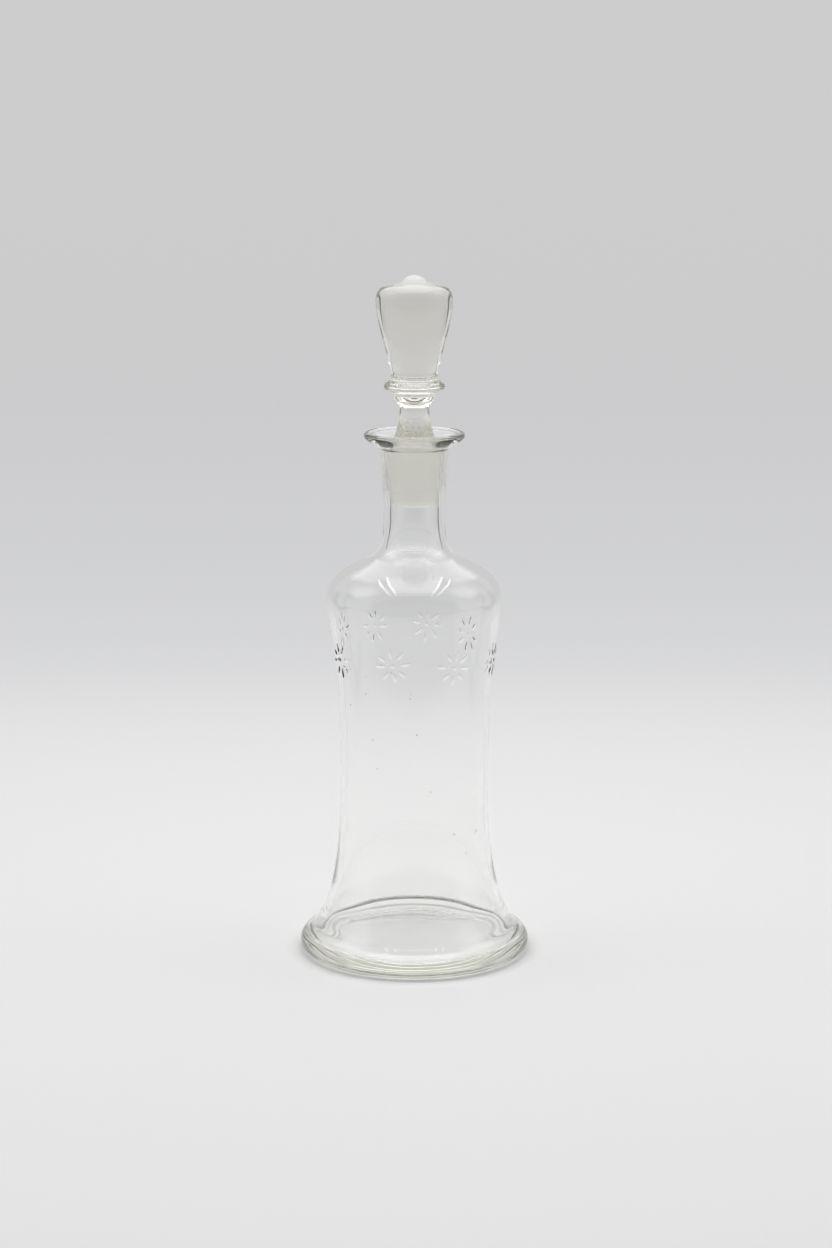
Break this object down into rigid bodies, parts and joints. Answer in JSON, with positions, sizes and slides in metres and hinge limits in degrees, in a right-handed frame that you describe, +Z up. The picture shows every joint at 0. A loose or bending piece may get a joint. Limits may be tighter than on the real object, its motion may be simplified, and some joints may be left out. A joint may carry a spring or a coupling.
{
  "type": "stoppered glass bottle",
  "caption": "Clear glass decanter with a waisted body on a flared round foot, a tapered neck with a wide lip, and a ground glass stopper that lifts out.",
  "frame": {"origin": "middle of the flat ring that the foot stands on", "axes": "+Z up along the bottle's axis, through the neck and the stopper; the body is round, so X and Y are free"},
  "size_m": [0.085, 0.085, 0.25],
  "materials": {
    "bottle_glass": "clear, fire polished, with a ground seat in the neck",
    "stopper_glass": "clear, with a ground matt plug"
  },
  "bodies": {
    "bottle": {"bottle": "bottle_glass"},
    "stopper": {"stopper": "stopper_glass"}
  },
  "joints": [
    {"name": "stopper_lift", "type": "slide", "parent": "bottle", "child": "stopper", "axis": [0, 0, 1], "range_m": [0, 0.05]}
  ]
}
